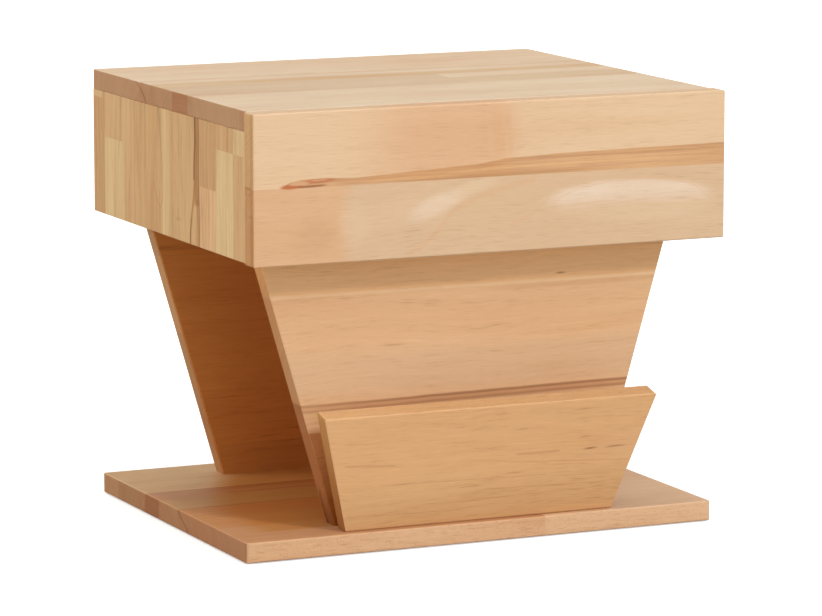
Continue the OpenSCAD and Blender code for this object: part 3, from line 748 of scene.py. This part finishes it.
def make_boards():
    """Every board of the cabinet and of the drawer, and the dowels."""
    whole = (600, "tan")  # a stave without a butt joint: its joint lies beyond the board

    staves = [(-160, "pale"), (-50, "pale"), (26, "pale"), (76, "honey"), (150, "pale"),
              (200, "pale")]
    # Its tint makes the whole top paler and greyer: painted sheen of the light on the top face
    Beech("top_panel", "X", "Y", staves, figure=0.8, paint=top_figure, ends=top_ends, glue=0.05,
          base_tint=(1.00, 1.085, 1.215))
    staves = [(-166, "honey"), (-143, "tan"), (-104, "straw"), (-66, "honey"), (-5, "tan"),
              (26, "tan"), (92, "tan"), (118, "fawn"), (166, "straw"), (200, "clay")]
    cuts = [whole, (351, "straw"), (351, "tan"), (314, "clay"), whole, whole, whole, whole,
            (332, "olive"), (337, "clay")]
    Beech("left_side_panel", "Z", "Y", staves, cuts=cuts, paint=side_figure, glue=0.08, figure=2.0,
          base_tint=(0.99, 0.96, 0.88))
    staves = [(-120, "straw"), (-64, "tan"), (-22, "honey"), (38, "fawn"), (84, "pale"),
              (140, "tan"), (200, "honey")]
    cuts = [(300, "tan"), whole, (340, "fawn"), whole, (322, "tan"), whole, (296, "pink")]
    Beech("right_side_panel", "Z", "Y", staves, cuts=cuts, figure=1.2)
    Beech("drawer_front", "X", "Z", [(326.3, "pale"), (395, "pale")], figure=0.5, clouds=0.5,
          glue=0.0, paint=front_figure, ends=front_ends, flecks=0.6,
          base_tint=(0.965, 0.96, 0.97))
    Beech("front_stand_panel", "X", "Z", [(102.5, "dusk"), (224, "amber"), (300, "gold")],
          figure=0.9, clouds=0.6, paint=stand_figure, ends=stand_ends, flecks=0.7, glue=0.0)
    Beech("rear_stand_panel", "X", "Z", [(47, "tan"), (152, "tan"), (226, "honey"), (300, "fawn")],
          figure=0.9, paint=rear_figure, ends=rear_ends)
    Beech("pocket_front", "X", "Z", [(120, "gold")], lean=POCKET_LEAN, figure=1.0, clouds=0.6,
          glue=0.0, paint=pocket_figure, ends=pocket_ends, flecks=0.6,
          base_tint=(0.97, 0.94, 0.90))
    staves = [(-110, "tawny"), (-16, "dusk"), (29, "tawny"), (62, "tawny"), (120, "wheat"),
              (200, "wheat")]
    # The butt joints make the front staves darker left of them and paler right of them: partly
    # their own tones, partly painted shade on the left and painted light on the right
    cuts = [(60, "rose"), (60, "rose"), (70, "peach"), (70, "pale"), (-30, "straw"), (50, "pale")]
    Beech("base_plate", "X", "Y", staves, cuts=cuts, paint=base_figure, ends=base_ends, flecks=1.2)

    staves = [(-90, "honey"), (-30, "pale"), (40, "peach"), (110, "straw"), (200, "honey")]
    Beech("floor_panel", "X", "Y", staves)
    Beech("back_panel", "X", "Z", [(305, "peach"), (342, "pale"), (380, "honey")])
    Beech("drawer_inner_front", "X", "Z", [(322, "pale"), (365, "straw")])
    Beech("drawer_back", "X", "Z", [(330, "pale"), (365, "apricot")])
    Beech("drawer_left_side", "Y", "Z", [(318, "straw"), (365, "pale")])
    Beech("drawer_right_side", "Y", "Z", [(334, "pale"), (365, "straw")])
    dowels = (("floor_dowels", "X"), ("back_dowels", "X"), ("top_dowels", "Z"),
              ("drawer_dowels", "X"))
    for node, grain in dowels:
        Beech(node, grain, "Y", [(1000, "tan")], figure=0.6, wear=0.0)


# ---- Plywood, metal and plastic ----


def darker(colour, share):
    """The colour with its red, green and blue multiplied by share."""
    return (*(c * share for c in colour[:3]), 1.0)


def plywood(node):
    """Birch plywood: a rotary-cut face veneer, and light and dark layers at its edge."""
    g = Graph("plywood_" + node)
    _, x, y, z = g.place()
    swing = g.mul(g.noise(g.vector(g.mul(x, 0.006), g.mul(y, 0.008)), detail=1.0), 26.0)
    rings = g.vector(g.mul(x, 0.003), g.mul(g.add(y, swing), 0.05))
    rings = g.noise(rings, detail=3.0, roughness=0.55)
    fibre = g.noise(g.vector(g.mul(x, 0.05), g.mul(y, 1.1)), detail=3.0)
    layer = g.math("FRACT", g.mul(g.sub(z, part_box(node)[0].z * MM), 1.0 / LAYER_PAIR))
    colour = g.mix(g.step(rings, 0.35, 0.68), rgb(226, 203, 168), rgb(213, 184, 145))
    colour = g.mix(g.mul(g.step(fibre, 0.5, 0.75), 0.35), colour, rgb(178, 142, 100))
    colour = g.mix(g.mul(g.between(layer, 0.5, 1.0, 0.04), 0.25), colour, rgb(150, 112, 76))
    g.bump(fibre, 0.15, 0.0001)
    dress(node, g.finish(colour, g.step(fibre, 0.3, 0.7, 0.48, 0.62), Specular_IOR_Level=0.35))


def metal(node, colour, roughness, lines_along=(3.0, 0.02, 3.0), name="steel_"):
    """Plated or polished steel with fine drawing lines and a faint tarnish."""
    g = Graph(name + node)
    at, x, y, z = g.place()
    lines = g.noise(g.vector(*(g.mul(a, k) for a, k in zip((x, y, z), lines_along))), detail=2.0)
    tarnish = g.noise(at, 0.06, 3.0)
    worn = g.mix(g.step(tarnish, 0.4, 0.7), colour, darker(colour, 0.83))
    tint = g.mix(g.mul(g.step(lines, 0.45, 0.7), 0.25), worn, darker(colour, 0.72))
    g.bump(lines, 0.08, 0.00005)
    rough = g.step(lines, 0.3, 0.7, roughness - 0.06, roughness + 0.04)
    rough = g.add(rough, g.step(tarnish, 0.4, 0.7, 0.0, 0.07))
    dress(node, g.finish(tint, rough, Metallic=1.0))


def plastic(node, colour, roughness):
    """Moulded plastic with a fine grain."""
    g = Graph("plastic_" + node)
    at = g.place()[0]
    grain = g.noise(at, 1.8, 2.0)
    patch = g.noise(at, 0.12, 2.0)
    tint = g.mix(g.step(patch, 0.35, 0.7), colour, darker(colour, 0.9))
    g.bump(grain, 0.10, 0.00005)
    dress(node, g.finish(tint, g.step(grain, 0.3, 0.7, roughness - 0.05, roughness + 0.08)))


def make_hardware():
    """The drawer's plywood bottom, the runners, the screws, the glides and the bumpers."""
    plywood("drawer_bottom")
    rails = ("runner_cabinet", "runner_middle", "runner_drawer", "outer_cage", "inner_cage")
    for side in ("left", "right"):
        for part in rails:
            metal(f"{side}_{part}", rgb(206, 207, 204), 0.34)
        for part in ("outer_balls", "inner_balls"):
            metal(f"{side}_{part}", rgb(222, 222, 224), 0.12, (1.0, 1.0, 1.0), "ball_")
    for node in ("stand_base_screws", "stand_top_screws", "pocket_screws", "runner_cabinet_screws",
                 "runner_drawer_screws", "drawer_front_screws"):
        metal(node, rgb(204, 202, 192), 0.30, (1.6, 1.6, 1.6), "screw_")
    plastic("glides", rgb(222, 219, 210), 0.5)
    plastic("front_bumpers", rgb(232, 230, 224), 0.42)


# ---- Floor, light and camera ----


def direction(azimuth, elevation):
    """Unit vector away from the object. Azimuth 0 is the front, and it grows towards +X."""
    a, e = math.radians(azimuth), math.radians(elevation)
    return Vector((math.sin(a) * math.cos(e), -math.cos(a) * math.cos(e), math.sin(e)))


def make_floor():
    """Plain pale floor. It is paler to the camera than to the light it throws back up."""
    mesh = bpy.data.meshes.new("floor")
    corners = [(x * FLOOR_HALF, y * FLOOR_HALF, 0) for x, y in ((-1, -1), (1, -1), (1, 1), (-1, 1))]
    mesh.from_pydata(corners, [], [(0, 1, 2, 3)])
    floor = bpy.data.objects.new("floor", mesh)
    bpy.context.scene.collection.objects.link(floor)
    g = Graph("floor")
    mottle = g.noise(g.node("TexCoord").outputs["Object"], 2.0, 3.0)
    seen = g.node("LightPath").outputs["Is Camera Ray"]
    colour = g.mix(seen, FLOOR_BOUNCE, g.mix(mottle, *FLOOR_SEEN))
    g.put(g.shader.inputs["Emission Strength"], g.mul(seen, FLOOR_GLOW))
    mesh.materials.append(g.finish(colour, 0.8, Specular_IOR_Level=0.1, Emission_Color=grey(1.0)))


def make_dome():
    """White sky light, brighter overhead."""
    world = bpy.data.worlds.new("studio")
    bpy.context.scene.world = world
    world.use_nodes = True
    tree = world.node_tree
    sky, place, rise = (
        tree.nodes.new("ShaderNode" + kind) for kind in ("TexCoord", "SeparateXYZ", "MapRange")
    )
    rise.interpolation_type = SMOOTH
    for name, value in DOME.items():
        rise.inputs[name].default_value = value
    tree.links.new(sky.outputs["Generated"], place.inputs[0])
    tree.links.new(place.outputs["Z"], rise.inputs["Value"])
    tree.links.new(rise.outputs[0], tree.nodes["Background"].inputs["Strength"])
    tree.nodes["Background"].inputs["Color"].default_value = grey(1.0)


def make_suns():
    """The key, and the two wide lights that open up the shades at the front and on the left."""
    for name, (azimuth, elevation, spread, strength) in SUNS.items():
        light = bpy.data.lights.new(name, "SUN")
        light.energy = strength * math.pi
        light.angle = math.radians(spread)
        lamp = bpy.data.objects.new(name, light)
        lamp.rotation_euler = direction(azimuth, elevation).to_track_quat("Z", "Y").to_euler()
        bpy.context.scene.collection.objects.link(lamp)


def make_camera():
    """The camera stands low in front and to the left, far off with a long lens."""
    back = direction(*CAMERA_PLACE)
    side = Vector((0.0, 0.0, 1.0)).cross(back).normalized()
    above = back.cross(side)
    right, up = CAMERA_NUDGE
    data = bpy.data.cameras.new("camera")
    data.sensor_width = 36.0
    data.lens = CAMERA_LENS
    data.clip_start, data.clip_end = 0.1, 100.0
    camera = bpy.data.objects.new("camera", data)
    camera.location = CAMERA_AIM + back * CAMERA_DISTANCE + side * right + above * up
    camera.rotation_mode = "QUATERNION"
    camera.rotation_quaternion = back.to_track_quat("Z", "Y")
    bpy.context.scene.collection.objects.link(camera)
    bpy.context.scene.camera = camera


make_camera()
make_boards()
make_hardware()
make_floor()
make_dome()
make_suns()
bpy.context.scene.view_settings.view_transform = "Standard"
